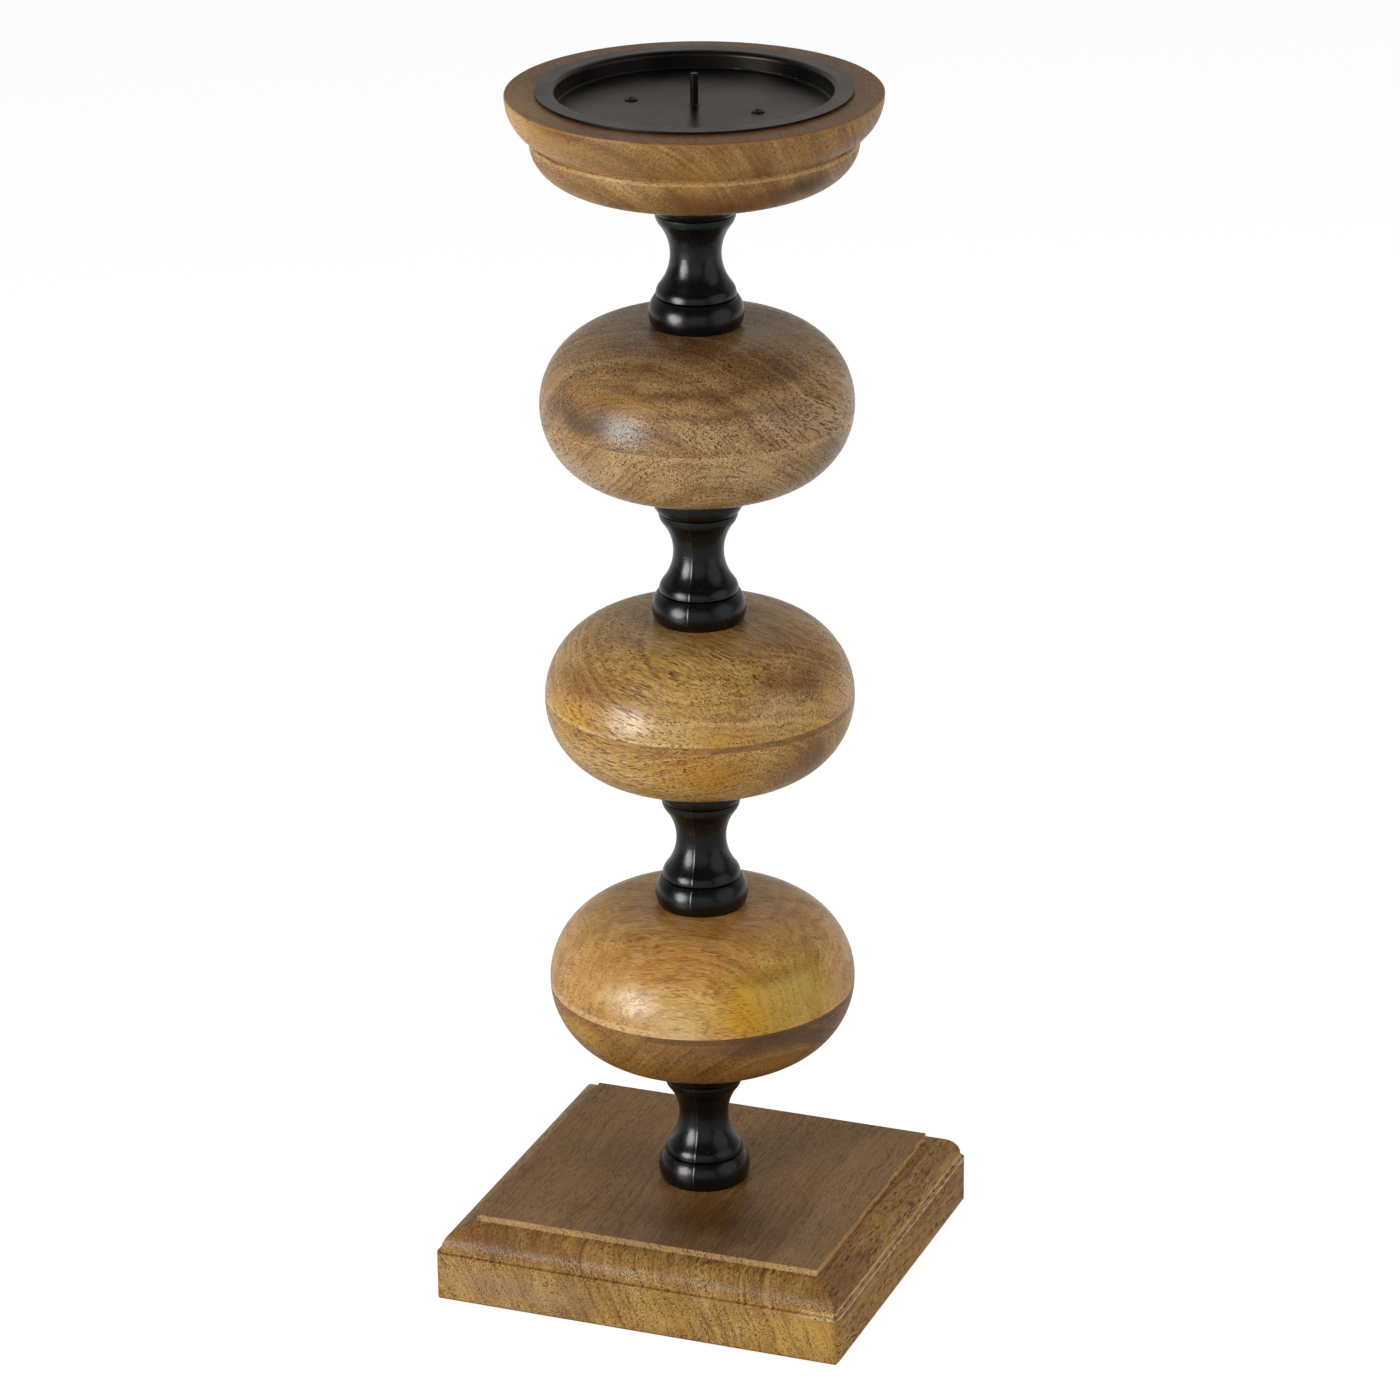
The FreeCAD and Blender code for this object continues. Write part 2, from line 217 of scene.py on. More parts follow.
SLOW_GRAIN = (0.012, 0.035, 0.035)
RIPPLE_GRAIN = (0.05, 0.14, 0.14)
BROKEN_GRAIN = (0.03, 0.09, 0.09)
FIBRE_GRAIN = (0.06, 1.1, 1.1)
FINE_GRAIN = (0.30, 3.4, 3.4)
SOFT_GRAIN = (0.011, 0.085, 0.085)
CROWD_GRAIN = (0.03, 0.10, 0.10)
GOLD_GRAIN = (0.02, 0.04, 0.04)
FLECK_GRAIN = (0.15, 0.12, 0.22)
PATCH_GRAIN = (0.03, 0.06, 0.06)
PATCH_STRAY = (19.0, 19.0, 8.0)
GOLD_SHIFT = (5.0, 3.0, 9.0)
SEED_STEP = (37.1, 71.3, 13.7)
SEED_FIBRE_STEP = 11.0
SEED_RING_STEP = 91.0
RINGS_START = 200.0
RING_RIPPLE = 3.0
TONE_STOPS = (0.30, 0.44, 0.57, 0.70)
EDGE_STRAY = 1.6 * 0.45
EDGE_FADE = 14.0
GRAIN_DEPTH = 0.00016
SWELL_DEPTH = 0.0012

# Length, width, least and greatest share of its cell, and depth
VESSELS = (
    (4.6, 0.56, 0.22, 0.47, 0.85),
    (7.4, 0.74, 0.18, 0.42, 1.0),
    (13.0, 1.10, 0.08, 0.30, 1.0),
)


def grained_noise(g, place, grain, detail=2.0, rough=0.5, **settings):
    return g.noise(g.vector("MULTIPLY", place, grain), 1.0, detail, rough, **settings)


def blank_axes(g, place, turn, tilt, bend):
    """The point in the blank: along the fibres, to their side and above them."""
    along_way = toward(turn, tilt)
    side_way = toward(turn + 90.0)
    along = g.along(place, along_way)
    rise = g.along(place, along_way.cross(side_way))
    if bend:
        rise = g.add(rise, g.times(g.times(along, along), bend))
    return g.point(along, g.along(place, side_way), rise)


def ring_radius(g, bent, shifted, pith):
    """Distance from the pith, rippled."""
    parts = g.parts(bent)
    across = g.math("SUBTRACT", parts[1], pith[0])
    above = g.math("SUBTRACT", parts[2], pith[1])
    radius = g.math("SQRT", g.add(g.times(across, across), g.times(above, above)))
    ripple = grained_noise(g, shifted, RIPPLE_GRAIN, 3.0, 0.55)
    return g.add(radius, g.times(g.math("SUBTRACT", ripple, 0.5), RING_RIPPLE))


def ring_lines(g, seeded, shifted, spacing):
    """Thin dark line at the end of each year, broken here and there."""
    phase = g.math("FRACT", g.times(seeded, 1.0 / spacing))
    line = g.times(g.span(phase, 0.72, 0.96), g.span(phase, 0.96, 1.0, 1.0, 0.0))
    return g.times(line, g.span(grained_noise(g, shifted, BROKEN_GRAIN), 0.40, 0.62))


def vessel_marks(g, bent, shifted, radius, seed, vessel):
    wobble = g.centred(g.noise(bent, 0.35, colour=True), (0.0, 1.0, 1.0))
    tube = g.vector("ADD", bent, wobble)
    marks = 0.0
    for length, width, least, most, depth in VESSELS:
        moved = g.vector("ADD", tube, (length * 3.1, width * 17.0, seed * 7.0))
        gap, tone = g.cells(g.vector("MULTIPLY", moved, (1.0 / length, 1.0 / width, 1.0 / width)))
        size = g.span(g.parts(tone)[0], 0.0, 1.0, least, most, smooth=False)
        mark = g.times(g.span(g.math("SUBTRACT", gap, size), -0.05, 0.05, 1.0, 0.0), depth)
        marks = g.math("MAXIMUM", marks, mark)
    crowd = g.span(grained_noise(g, shifted, CROWD_GRAIN), 0.34, 0.56, 0.6, 1.0)
    rows = g.span(g.noise_line(radius, 0.8, 1.0), 0.36, 0.58, 0.40, 1.0)
    return g.times(g.times(marks, g.times(crowd, rows)), vessel)


def lay_flecks(g, colour, place, shifted, flecks, pale, dark):
    """Pale and dark flecks of curly grain, the pale ones high on the piece."""
    fleck = grained_noise(g, shifted, FLECK_GRAIN, 3.0, 0.55, distortion=0.3)
    high = g.span(g.parts(place)[2], 4.0, 14.0)
    colour = g.mix(g.times(g.times(g.span(fleck, 0.49, 0.60), high), flecks), colour, pale)
    return g.mix(g.times(g.span(fleck, 0.44, 0.32), flecks * 0.8), colour, dark)


def lay_patches(g, colour, place, shifted, tone, patches):
    """Soft patches of another tint, most of them the wood's own colour; those that are painted light or
    painted shade are marked where they are listed. Each has an azimuth, a height, its reach level, up and
    outward with the distance of its middle, its share and its tint."""
    stray = g.centred(grained_noise(g, shifted, PATCH_GRAIN, colour=True), PATCH_STRAY)
    spread = g.vector("ADD", place, stray)
    for azimuth, height, (level_reach, up_reach, out_reach, distance), share, tint in patches:
        out_way = toward(azimuth)
        middle = out_way * distance
        gap = g.vector("SUBTRACT", spread, (middle.x, middle.y, height))
        parts = g.point(
            g.times(g.along(gap, toward(azimuth + 90.0)), 1.0 / level_reach),
            g.times(g.along(gap, out_way), 1.0 / out_reach),
            g.times(g.parts(gap)[2], 1.0 / up_reach),
        )
        mask = g.span(g.vector("LENGTH", parts), 0.10, 1.05, share, 0.0)
        mask = g.math("MULTIPLY", mask, g.span(tone, 0.30, 0.70, 1.2, 0.8), clamp=True)
        colour = g.mix(mask, colour, linear(tint))
    return colour


def lay_edges(g, colour, place, soft, fibre, edge_light_and_shade):
    """Painted highlight and painted shade in strips along an edge: pale strips on lit lips, ledges and
    ridges, dark strips under the steps of glue joints. Each has its low and high level, the azimuth that it
    faces and where it starts on it, its share and its tint."""
    level = g.add(g.parts(place)[2], g.times(g.math("SUBTRACT", soft, 0.5), EDGE_STRAY))
    for low, high, azimuth, start, share, tint in edge_light_and_shade:
        strip = g.times(g.span(level, low - 0.25, low + 0.15),
                        g.span(level, high - 0.15, high + 0.35, 1.0, 0.0))
        facing = g.span(g.along(place, toward(azimuth)), start, start + EDGE_FADE)
        strip = g.times(g.times(strip, facing), g.span(fibre, 0.3, 0.6, share * 0.75, share))
        colour = g.mix(strip, colour, linear(tint))
    return colour


def make_wood(name, centre, turn, pith, colours, seed=0.0, spacing=5.5, ring_line=0.15, warp=4.0,
              vessel=1.0, streak=1.0, band=0.55, contrast=1.0, lighter=0.0, bend=0.0, tilt=0.0,
              patches=(), yellow=0.35, flecks=0.0, rough=0.29, gloss=0.58, painted_top_shade=None, edge_light_and_shade=()):
    material, g = new_material(name)
    place = millimetres(g, centre)
    grain = blank_axes(g, place, turn, tilt, bend)
    seed_shift = tuple(seed * step for step in SEED_STEP)
    shifted = g.vector("ADD", grain, seed_shift)
    slow = grained_noise(g, shifted, SLOW_GRAIN, colour=True)
    bent = g.vector("ADD", grain, g.centred(slow, (0.0, warp * 2.0, warp * 2.0)))

    radius = ring_radius(g, bent, shifted, pith)
    seeded = g.add(radius, RINGS_START + seed * SEED_RING_STEP)
    bands = g.noise_line(seeded, 0.085, 3.0, 0.62)
    thin_bands = g.noise_line(seeded, 0.55, 2.0, 0.6)
    line = ring_lines(g, seeded, shifted, spacing)
    slid = g.vector("ADD", bent, (seed * SEED_FIBRE_STEP, 0.0, 0.0))
    fibre = grained_noise(g, slid, FIBRE_GRAIN, 4.0, 0.62)
    fine = grained_noise(g, bent, FINE_GRAIN, 2.0, 0.6)
    soft = grained_noise(g, g.vector("ADD", bent, seed_shift), SOFT_GRAIN, 4.0, 0.58)
    marks = vessel_marks(g, bent, shifted, radius, seed, vessel)

    # Colour
    tone = g.add(g.times(bands, band), g.times(soft, 1.0 - band))
    tone = g.add(g.times(g.math("SUBTRACT", tone, 0.5), contrast), 0.5 + lighter)
    tone = g.add(tone, g.times(g.math("SUBTRACT", thin_bands, 0.5), 0.32 * streak))
    tone = g.add(tone, g.times(g.math("SUBTRACT", fibre, 0.5), 0.60 * streak))
    shades = [linear(c) for c in colours["main"]]
    colour = g.ramp(tone, list(zip(TONE_STOPS, shades)))
    gold = g.noise(g.vector("ADD", g.vector("MULTIPLY", shifted, GOLD_GRAIN), GOLD_SHIFT), 1.0)
    colour = g.mix(g.span(gold, 0.50, 0.68, 0.0, yellow), colour, linear(colours["gold"]))
    # Painted shade: the flat top face is made darker, as it gets less light than the sides.
    if painted_top_shade is not None:
        level, share, tint = painted_top_shade
        flat = g.span(g.parts(place)[2], level - 0.35, level + 0.05)
        colour = g.mix(g.times(flat, share), colour, linear(tint))
        marks = g.times(marks, g.span(flat, 0.0, 1.0, 1.0, 0.6, smooth=False))
    if flecks:
        colour = lay_flecks(g, colour, place, shifted, flecks, pale=shades[-1], dark=shades[0])
    if patches:
        colour = lay_patches(g, colour, place, shifted, tone, patches)
    colour = g.mix(g.times(line, ring_line), colour, linear(colours["line"]))
    shade = g.grey(g.span(fine, 0.30, 0.70, 0.74, 1.18, smooth=False))
    colour = g.mix(1.0, colour, shade, "MULTIPLY")
    # Painted highlight and painted shade in strips along edges.
    if edge_light_and_shade:
        colour = lay_edges(g, colour, place, soft, fibre, edge_light_and_shade)
    colour = g.mix(marks, colour, linear(colours["pore"]))

    # Finish
    height = g.add(g.times(marks, -0.40), g.times(fibre, 0.10))
    height = g.add(height, g.times(line, -0.10))
    normal = g.bump(height, GRAIN_DEPTH, 0.8)
    normal = g.bump(g.noise(place, 0.045, 1.0, 0.4), SWELL_DEPTH, 0.5, normal)
    grained_rough = g.span(fibre, 0.3, 0.7, rough - 0.05, rough + 0.05, smooth=False)
    roughness = g.add(grained_rough, g.times(marks, 0.15))
    g.surface(colour=colour, rough=roughness, specular=gloss, normal=normal)
    return material


# Black paint on cast metal

SEAM_FACE = 77.0
SEAM_RIDGE = 0.55
SEAM_STEP = -0.9
SEAM_BEADS = 0.45
PAINT_DEPTH = 0.00020


def make_black_casting(name, seam):
    material, g = new_material(name)
    place = millimetres(g)
    peel = g.noise(place, 0.55, 3.0, 0.55)
    coarse = g.noise(place, 0.17, 2.0, 0.5)
    gap, tone = g.cells(place, 0.35)
    speck = g.times(g.span(gap, 0.05, 0.17, 1.0, 0.0), g.span(g.parts(tone)[1], 0.80, 0.84))
    height = g.add(g.times(peel, 0.10), g.times(coarse, 0.45))
    height = g.add(height, g.times(speck, 0.30))
    if seam:
        off = g.along(place, toward(SEAM_FACE))
        ridge = g.span(g.math("ABSOLUTE", off), 0.15, 0.70, 1.0, 0.0)
        half = g.span(off, -0.2, 3.5, 0.0, 1.0)
        height = g.add(height, g.times(ridge, SEAM_RIDGE))
        height = g.add(height, g.times(half, SEAM_STEP))
        bead_gap, bead_tone = g.cells(g.vector("MULTIPLY", place, (0.0, 0.0, 0.45)))
        beads = g.times(g.span(bead_gap, 0.1, 0.35, 1.0, 0.0), ridge)
        beads = g.times(beads, g.span(g.parts(bead_tone)[0], 0.6, 0.7))
        height = g.add(height, g.times(beads, SEAM_BEADS))
    normal = g.bump(height, PAINT_DEPTH, 0.9)
    worn = g.span(g.noise(place, 0.9, 4.0, 0.7), 0.62, 0.80)
    colour = g.mix(g.times(worn, 0.25), linear((5, 5, 4)), linear((18, 17, 16)))
    colour = g.mix(g.times(speck, 0.3), colour, linear((60, 58, 55)))
    roughness = g.span(g.add(g.times(peel, 0.6), g.times(coarse, 0.4)), 0.3, 0.7, 0.20, 0.30)
    g.surface(colour=colour, rough=roughness, specular=0.52, tint=(0.94, 0.97, 1.0, 1.0), normal=normal)
    return material


# Black paint on pressed sheet

SHEET_DEPTH = 0.00006


def make_black_sheet():
    material, g = new_material("black_sheet")
    place = millimetres(g)
    grain = g.noise(place, 2.6, 3.0, 0.6)
    slow = g.noise(place, 0.05, 2.0, 0.5)
    gap, tone = g.cells(place, 0.45)
    # Sparse pale specks.
    pale_specks = g.times(g.span(gap, 0.03, 0.12, 1.0, 0.0), g.span(g.parts(tone)[1], 0.86, 0.9))
    colour = g.mix(g.span(slow, 0.35, 0.65), linear((10, 9, 8)), linear((18, 16, 14)))
    colour = g.mix(g.times(pale_specks, 0.45), colour, linear((120, 116, 110)))
    normal = g.bump(g.add(grain, g.times(pale_specks, 1.2)), SHEET_DEPTH, 0.7)
    roughness = g.span(g.add(g.times(grain, 0.4), g.times(slow, 0.6)), 0.3, 0.7, 0.24, 0.36)
    g.surface(colour=colour, rough=roughness, specular=0.44, tint=(1.0, 0.93, 0.86, 1.0), normal=normal)
    return material


# Zinc plated steel

THREAD_PITCH = 1.25
THREAD_DEPTH = 0.0013
ZINC_DEPTH = 0.00012


def make_zinc(name, pitch=0.0):
    material, g = new_material(name)
    place = millimetres(g)
    tone = g.cells(place, 0.8)[1]
    cloud = g.noise(place, 0.35, 3.0, 0.6)
    colour = g.mix(g.span(cloud, 0.35, 0.65), linear((150, 152, 156)), linear((186, 188, 190)))
    stain = g.times(g.span(g.noise(place, 0.8, 3.0, 0.7), 0.58, 0.75), 0.35)
    colour = g.mix(stain, colour, linear((118, 112, 98)))
    roughness = g.span(g.parts(tone)[0], 0.0, 1.0, 0.30, 0.44, smooth=False)
    height = g.times(cloud, 0.25)
    distance = ZINC_DEPTH
    if pitch:
        x, y, z = g.parts(place)
        turn = g.times(g.math("ARCTAN2", y, x), 1.0 / math.tau)
        height = g.math("PINGPONG", g.add(g.times(z, 1.0 / pitch), turn), 0.5)
        distance = THREAD_DEPTH
        # Painted shade: the thread's grooves are darker.
        colour = g.mix(1.0, colour, g.grey(g.span(height, 0.0, 0.3, 0.45, 1.0)), "MULTIPLY")
    g.surface(colour=colour, rough=roughness, metal=1.0, normal=g.bump(height, distance, 0.9))
    return material


# Felt

FELT_DEPTH = 0.0004


def make_felt():
    material, g = new_material("black_felt")
    place = millimetres(g)
    tangle = g.vector("SCALE", g.noise(place, 1.2, colour=True), scale=3.0)
    hair = g.noise(g.vector("ADD", place, tangle), 3.2, 4.0, 0.75, distortion=1.5)
    clump = g.noise(place, 0.7, 2.0)
    colour = g.mix(g.span(hair, 0.35, 0.68), linear((24, 23, 22)), linear((58, 56, 54)))
    colour = g.mix(g.times(g.span(clump, 0.45, 0.65), 0.4), colour, linear((40, 38, 36)))
    g.surface(colour=colour, rough=0.95, specular=0.2, sheen=0.4, sheen_rough=0.5,
              normal=g.bump(g.add(hair, g.times(clump, 0.5)), FELT_DEPTH, 0.9))
    return material


# Dressing
# Each wooden piece has its own blank, measured from the middle of its turned form. Angles go to the
# right of the viewer's direction, and the base's two near faces look to the left and to the right.

BALL_3_MIDDLE = (0.0, 0.0, 341.4)
BALL_2_MIDDLE = (0.0, 0.0, 228.6)
BALL_1_MIDDLE = (0.0, 0.0, 115.8)
CUP_MIDDLE = (0.0, 0.0, 440.0)
BASE_MIDDLE = (0.0, 0.0, 18.0)
LEFT_FACE = -21.113
RIGHT_FACE = 68.887


def dress(node, material):
    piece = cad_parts[node]
    if not piece.material_slots:
        piece.data.materials.append(None)
    for place in piece.material_slots:
        place.material = material


BALL_3 = {"main": [(108, 72, 40), (150, 112, 66), (170, 134, 86), (188, 154, 106)],
          "gold": (180, 132, 62), "pore": (62, 40, 20), "line": (86, 56, 32)}
BALL_2 = {"main": [(122, 80, 38), (166, 122, 62), (190, 148, 84), (208, 170, 108)],
          "gold": (196, 144, 46), "pore": (98, 56, 22), "line": (100, 62, 26)}
BALL_1 = {"main": [(156, 104, 48), (186, 137, 68), (202, 154, 82), (216, 174, 106)],
          "gold": (190, 150, 46), "pore": (98, 60, 24), "line": (104, 68, 28)}
BALL_1_LOW = {"main": [(94, 60, 26), (130, 88, 40), (150, 104, 50), (168, 122, 62)],
              "gold": (164, 122, 50), "pore": (64, 40, 20), "line": (70, 46, 24)}
CUP = {"main": [(100, 67, 35), (134, 95, 50), (155, 116, 66), (178, 141, 91)],
       "gold": (176, 130, 64), "pore": (88, 58, 32), "line": (92, 62, 34)}
BASE = {"main": [(106, 72, 36), (152, 111, 58), (175, 134, 74), (196, 158, 98)],
        "gold": (194, 150, 66), "pore": (74, 48, 24), "line": (84, 54, 30)}


def dress_wood():
    dress("ball_3_upper_half", make_wood(
        "mango_ball_3_upper", BALL_3_MIDDLE, -36.0, (14.0, -66.0), BALL_3,
        seed=1.0, ring_line=0.30, tilt=32.0, lighter=0.02, warp=2.5,
        patches=[
            # Darker at the top: partly the wood's own colour, partly painted shade.
            (0.0, 27.0, (60.0, 12.0, 60.0, 20.0), 0.42, (116, 70, 34)),
            (-44.0, 14.0, (26.0, 7.0, 18.0, 48.0), 0.85, (150, 104, 42)),
            (-48.0, 7.0, (34.0, 8.0, 20.0, 54.0), 1.0, (100, 76, 48)),
            (-30.0, 6.5, (28.0, 5.5, 20.0, 55.0), 0.9, (98, 74, 46)),
            (-28.0, -2.0, (18.0, 4.5, 16.0, 56.0), 0.8, (100, 78, 52)),
            (-10.0, 19.0, (46.0, 3.2, 34.0, 44.0), 0.70, (88, 54, 28)),
            (10.0, 12.5, (44.0, 2.4, 34.0, 48.0), 0.60, (102, 70, 40)),
            (35.0, 22.0, (26.0, 7.0, 20.0, 40.0), 0.75, (86, 58, 36)),
            (52.0, 4.0, (26.0, 11.0, 20.0, 54.0), 0.6, (180, 146, 100)),
        ]))
    dress("ball_3_lower_half", make_wood(
        "mango_ball_3_lower", BALL_3_MIDDLE, 4.0, (3.0, -36.0), BALL_3,
        seed=2.3, ring_line=0.60, spacing=2.8, lighter=0.09,
        # Painted highlight: a pale strip below the glue joint's step.
        edge_light_and_shade=[(-3.6, -1.5, 50.0, 20.0, 0.5, (196, 158, 110))],
        patches=[
            (60.0, -10.0, (28.0, 13.0, 24.0, 50.0), 0.8, (114, 84, 50)),
            (-56.0, -13.0, (26.0, 10.0, 20.0, 50.0), 0.8, (190, 162, 126)),
        ]))
    dress("ball_2_upper_half", make_wood(
        "mango_ball_2_upper", BALL_2_MIDDLE, 54.0, (-30.0, -50.0), BALL_2,
        seed=3.1, ring_line=0.35, lighter=0.05, bend=-0.0015, tilt=-12.0,
        # Painted highlight: a pale strip on the ridge of the glue joint.
        edge_light_and_shade=[(1.0, 2.2, -44.0, 34.0, 0.60, (222, 186, 128))],
        patches=[
            (-54.0, 16.0, (26.0, 9.0, 18.0, 48.0), 0.85, (132, 82, 36)),
            (40.0, 18.0, (28.0, 9.0, 20.0, 44.0), 0.9, (114, 68, 34)),
            (-56.0, 4.0, (26.0, 9.0, 18.0, 54.0), 0.8, (202, 150, 54)),
            (10.0, 3.0, (18.0, 8.0, 18.0, 56.0), 0.85, (188, 138, 48)),
            (-14.0, 6.0, (20.0, 9.0, 18.0, 54.0), 0.6, (206, 168, 104)),
        ]))
    dress("ball_2_lower_half", make_wood(
        "mango_ball_2_lower", BALL_2_MIDDLE, 56.0, (-34.0, -30.0), BALL_2,
        seed=4.6, ring_line=0.25, lighter=0.04,
        # Painted shade: a dark strip under the step of the glue joint.
        edge_light_and_shade=[(-1.2, 1.0, 56.0, 24.0, 0.6, (98, 68, 42))],
        patches=[
            (-44.0, -10.0, (26.0, 10.0, 20.0, 52.0), 0.75, (210, 172, 112)),
            (46.0, -10.0, (30.0, 16.0, 24.0, 50.0), 0.85, (128, 90, 54)),
            (2.0, -10.0, (24.0, 12.0, 18.0, 54.0), 0.9, (180, 126, 30)),
        ]))
    dress("ball_1_upper_half", make_wood(
        "mango_ball_1_upper", BALL_1_MIDDLE, 76.0, (-4.0, 6.0), BALL_1,
        seed=5.2, vessel=0.62, warp=9.0, ring_line=0.30, spacing=3.2, flecks=0.6, yellow=0.2, band=0.3,
        # Painted highlight: a pale strip along the edge of the upper half at the glue joint.
        edge_light_and_shade=[(-1.2, 1.2, -60.0, 22.0, 0.65, (216, 178, 134))],
        patches=[
            (0.0, 27.0, (60.0, 9.0, 60.0, 20.0), 0.45, (192, 130, 66)),
            (-50.0, 12.0, (30.0, 18.0, 30.0, 48.0), 0.50, (204, 152, 90)),
            (-10.0, 20.0, (40.0, 6.0, 30.0, 42.0), 0.55, (184, 122, 58)),
            (32.0, 10.0, (34.0, 16.0, 34.0, 50.0), 1.0, (192, 152, 30)),
            (18.0, 7.0, (20.0, 14.0, 20.0, 56.0), 1.0, (196, 142, 8)),
            (28.0, 18.0, (28.0, 4.0, 22.0, 46.0), 0.75, (156, 116, 30)),
            (-8.0, 3.0, (20.0, 12.0, 18.0, 56.0), 0.95, (206, 168, 104)),
        ]))
    dress("ball_1_lower_half", make_wood(
        "mango_ball_1_lower", BALL_1_MIDDLE, 10.0, (20.0, -40.0), BALL_1_LOW,
        seed=6.9, vessel=0.7,
        # Painted shade: a dark strip under the step of the glue joint.
        edge_light_and_shade=[(-3.4, -1.2, 40.0, 20.0, 0.55, (74, 50, 34))],
        patches=[
            (-60.0, -9.0, (28.0, 9.0, 24.0, 54.0), 1.0, (186, 138, 50)),
            (0.0, -20.0, (30.0, 5.0, 24.0, 46.0), 0.5, (146, 88, 46)),
            (30.0, -5.0, (44.0, 7.0, 34.0, 50.0), 0.8, (92, 62, 38)),
        ]))
    dress("cup", make_wood(
        "mango_cup", CUP_MIDDLE, 15.0, (-62.0, -40.0), CUP,
        seed=7.7, ring_line=0.15, vessel=0.75, contrast=0.9, streak=0.85, rough=0.36, gloss=0.28,
        # Painted shade darkens the flat top ring; painted light gives a pale strip on the lower band's lip.
        painted_top_shade=(16.6, 0.62, (158, 108, 58)),
        edge_light_and_shade=[(-0.4, 1.4, 0.0, -80.0, 0.5, (206, 166, 110))],
        patches=[
            (0.0, 17.0, (80.0, 3.0, 80.0, 20.0), 0.25, (120, 86, 54)),
            (-74.0, 12.0, (40.0, 14.0, 40.0, 62.0), 0.9, (204, 154, 92)),
            (-48.0, 4.0, (44.0, 15.0, 34.0, 56.0), 0.55, (170, 132, 84)),
            (48.0, -4.0, (24.0, 12.0, 24.0, 56.0), 0.45, (112, 88, 62)),
            (6.0, -8.0, (44.0, 9.0, 28.0, 50.0), 1.0, (108, 70, 34)),
            (40.0, -5.5, (16.0, 5.0, 20.0, 56.0), 1.0, (74, 62, 46)),
        ]))
    dress("base_board", make_wood(
        "mango_base", BASE_MIDDLE, LEFT_FACE, (-260.0, -120.0), BASE,
        seed=8.4, ring_line=0.45, lighter=0.04, warp=6.0, spacing=6.5, rough=0.36, gloss=0.30,
        # Painted shade darkens the flat top; painted light gives pale strips on the panel's lit lip and on
        # the right face's ledge.
        painted_top_shade=(15.0, 0.70, (140, 101, 58)),
        edge_light_and_shade=[
            (12.6, 14.8, LEFT_FACE, 40.0, 0.5, (198, 162, 116)),
            (12.6, 14.8, RIGHT_FACE, 40.0, 0.5, (198, 162, 116)),
            (1.5, 3.5, RIGHT_FACE, 60.0, 1.0, (212, 178, 128)),
        ],
        patches=[
            (20.0, -6.0, (30.0, 12.0, 26.0, 100.0), 0.65, (204, 158, 76)),
            # Painted light: the right face is made lighter.
            (68.0, -6.0, (90.0, 16.0, 20.0, 84.0), 0.40, (178, 134, 76)),
            # Painted shade: darker on the top in front of the column.
            (2.0, 15.0, (66.0, 6.0, 46.0, 46.0), 0.80, (74, 44, 20)),
            (0.0, 8.0, (150.0, 5.5, 150.0, 0.0), 0.60, (126, 82, 38)),
            (28.0, 8.0, (36.0, 6.0, 30.0, 86.0), 0.85, (120, 80, 32)),
            (-58.0, 9.0, (50.0, 7.0, 40.0, 90.0), 0.75, (124, 82, 44)),
            (-50.0, -8.0, (44.0, 10.0, 40.0, 96.0), 0.85, (164, 132, 100)),
        ]))


def dress_metal():
    plain = make_black_casting("black_casting", seam=False)
    seamed = make_black_casting("black_casting_seamed", seam=True)
    dress("spacer_4", plain)
    for number in (1, 2, 3):
        dress("spacer_" + str(number), seamed)
    sheet = make_black_sheet()
    for node in ("pan", "spike", "pan_screws"):
        dress(node, sheet)
    zinc = make_zinc("zinc_steel")
    for node in ("base_washer", "base_nut", "cup_washer", "cup_nut"):
        dress(node, zinc)
    dress("threaded_rod", make_zinc("zinc_thread", pitch=THREAD_PITCH))
    dress("felt_pads", make_felt())


# Floor, world and lamps
# The black paint mirrors a pale backdrop behind the stand and a dark studio on the viewer's side.

WHITE = (1.0, 1.0, 1.0, 1.0)
BLACK = (0.0, 0.0, 0.0, 1.0)
FLOOR_REACH = 6.0
FLOOR_COLOUR = (0.55, 0.55, 0.55, 1.0)
FLOOR_GLOW = 0.83
FLOOR_MIRRORED = 0.65
MIRRORED_FRONT = 0.04
MIRRORED_BACK = 0.47
FILL_LEVEL = 0.52
FILL_OVERHEAD = 0.13
LAMPS_AIM = Vector((0.0, 0.0, 0.25))


def seen_or_mirrored(g):
    path = g.node("ShaderNodeLightPath").outputs
    both = g.math("MAXIMUM", path["Is Camera Ray"], path["Is Glossy Ray"])
    return g.math("MAXIMUM", both, path["Is Transmission Ray"])


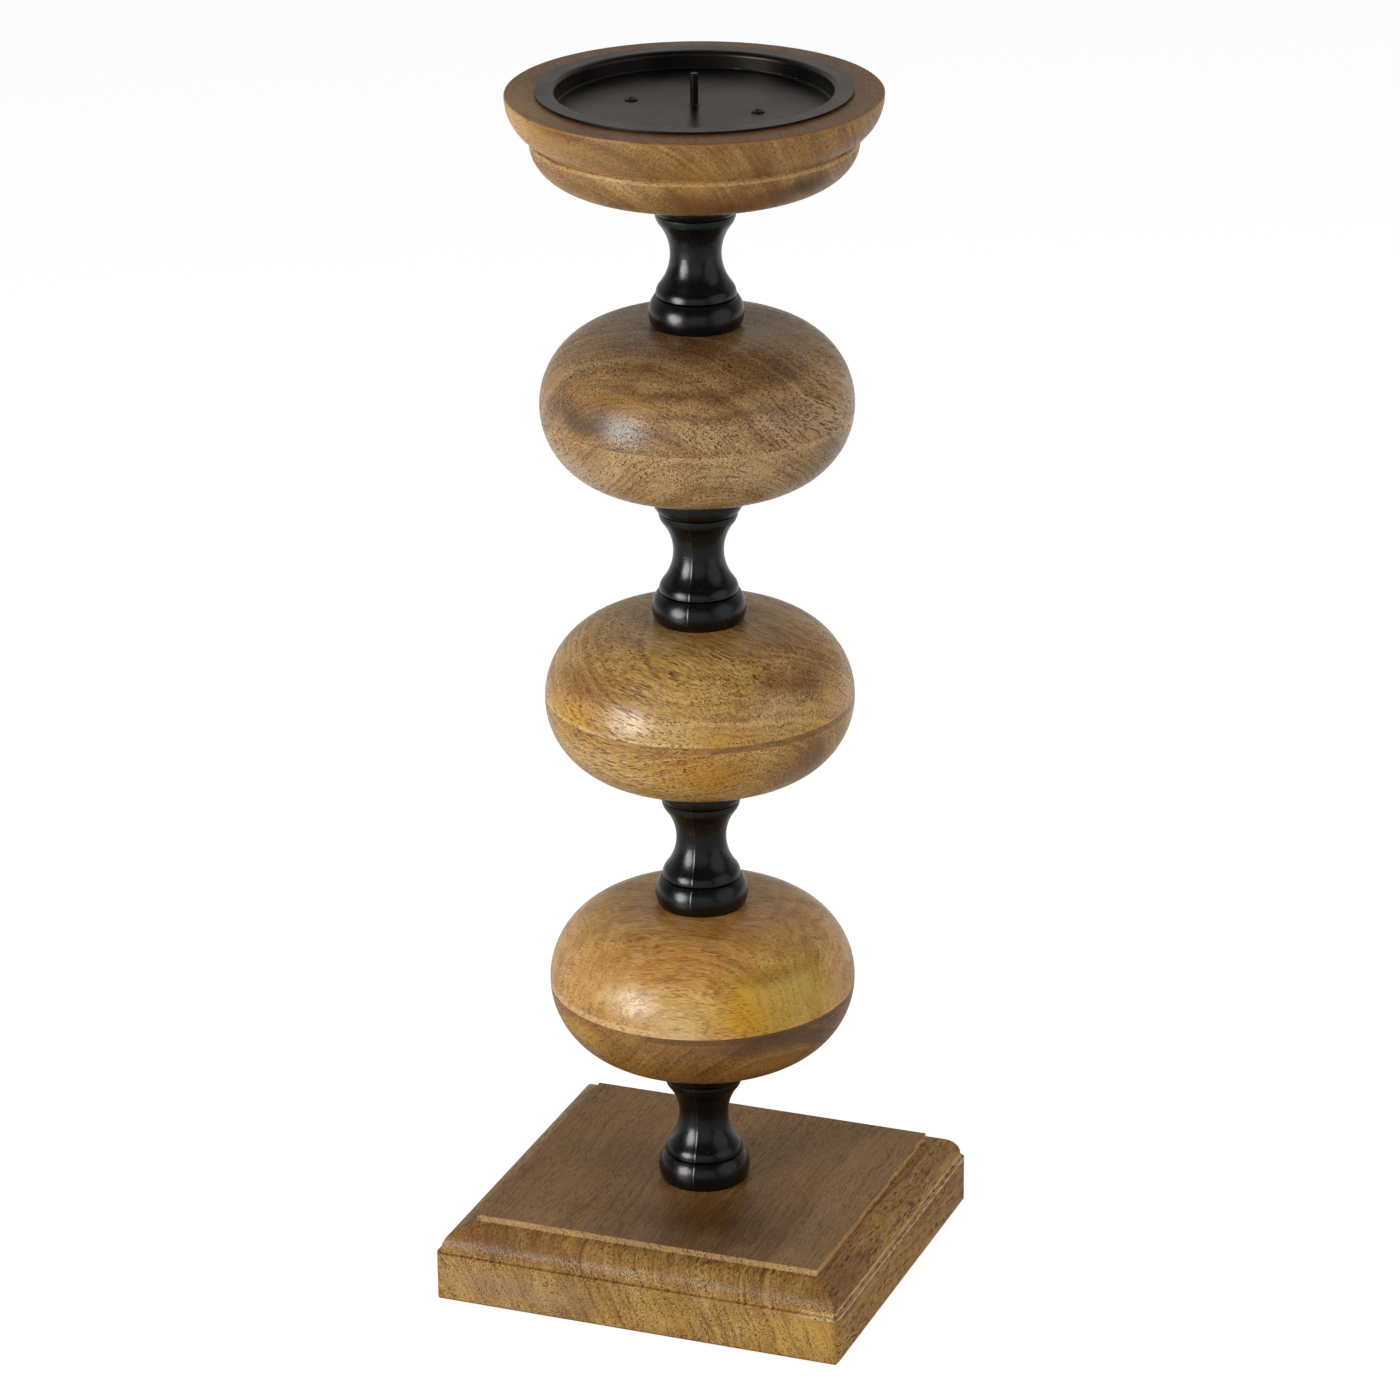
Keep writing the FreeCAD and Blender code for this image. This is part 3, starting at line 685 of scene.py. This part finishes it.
def make_floor():
    mesh = bpy.data.meshes.new("floor")
    corners = [(-FLOOR_REACH, -FLOOR_REACH, 0.0), (FLOOR_REACH, -FLOOR_REACH, 0.0),
               (FLOOR_REACH, FLOOR_REACH, 0.0), (-FLOOR_REACH, FLOOR_REACH, 0.0)]
    mesh.from_pydata(corners, [], [(0, 1, 2, 3)])
    floor = bpy.data.objects.new("floor", mesh)
    bpy.context.scene.collection.objects.link(floor)
    material, g = new_material("floor")
    flat = g.node("ShaderNodeBsdfDiffuse", {"Color": FLOOR_COLOUR})
    place = g.node("ShaderNodeTexCoord").outputs["Object"]
    behind = g.span(g.along(place, -toward(0.0)), -0.1, 0.7, 0.0, FLOOR_MIRRORED)
    path = g.node("ShaderNodeLightPath").outputs
    lit = g.math("MAXIMUM", path["Is Camera Ray"], g.times(seen_or_mirrored(g), behind))
    glow = g.node("ShaderNodeEmission", {"Color": WHITE, "Strength": FLOOR_GLOW})
    none = g.node("ShaderNodeEmission", {"Color": BLACK, "Strength": 0.0})
    lift = g.node("ShaderNodeMixShader", {0: lit, 1: none.outputs[0], 2: glow.outputs[0]})
    whole = g.node("ShaderNodeAddShader", {0: flat.outputs[0], 1: lift.outputs[0]})
    g.node("ShaderNodeOutputMaterial", {"Surface": whole.outputs[0]})
    mesh.materials.append(material)


def make_world():
    world = bpy.data.worlds.new("studio")
    bpy.context.scene.world = world
    world.use_nodes = True
    g = Graph(world.node_tree)
    way = g.node("ShaderNodeTexCoord").outputs["Generated"]
    bright = g.span(g.along(way, -toward(0.0)), -0.10, 0.80, MIRRORED_FRONT, MIRRORED_BACK)
    path = g.node("ShaderNodeLightPath").outputs
    warm = g.node("ShaderNodeCombineColor", {0: bright, 1: g.times(bright, 0.95), 2: g.times(bright, 0.88)})
    shown = g.mix(path["Is Camera Ray"], warm.outputs[0], WHITE)
    back = g.node("ShaderNodeBackground", {"Color": shown, "Strength": 1.0})
    rise = g.span(g.parts(way)[2], 0.0, 0.8, FILL_LEVEL, FILL_OVERHEAD)
    fill = g.node("ShaderNodeBackground", {"Color": WHITE, "Strength": rise})
    mixed = g.node("ShaderNodeMixShader", {0: seen_or_mirrored(g), 1: fill.outputs[0], 2: back.outputs[0]})
    g.node("ShaderNodeOutputWorld", {"Surface": mixed.outputs[0]})


def make_lamp(name, azimuth, rise, distance, width, height, power, mirrored=True):
    """An oval lamp that faces the stand. One that isn't mirrored only lights it."""
    data = bpy.data.lights.new(name, "AREA")
    data.shape = "ELLIPSE"
    data.size = width
    data.size_y = height
    data.energy = power
    lamp = bpy.data.objects.new(name, data)
    bpy.context.scene.collection.objects.link(lamp)
    lamp.visible_glossy = mirrored
    lamp.location = LAMPS_AIM + toward(azimuth, rise) * distance
    lamp.rotation_mode = "QUATERNION"
    lamp.rotation_quaternion = toward(azimuth, rise).to_track_quat("Z", "Y")


make_camera()
make_floor()
make_world()
make_lamp("key", -53.0, 7.0, 1.5, 0.80, 0.92, 19.0)
make_lamp("fill", 64.0, 14.0, 1.8, 1.9, 1.5, 4.0)
make_lamp("fill_soft", 66.0, 12.0, 1.8, 1.6, 1.4, 12.0, mirrored=False)
make_lamp("front", 2.0, 8.0, 2.6, 2.6, 1.6, 4.5)
dress_wood()
dress_metal()

bpy.context.scene.view_settings.view_transform = "Standard"
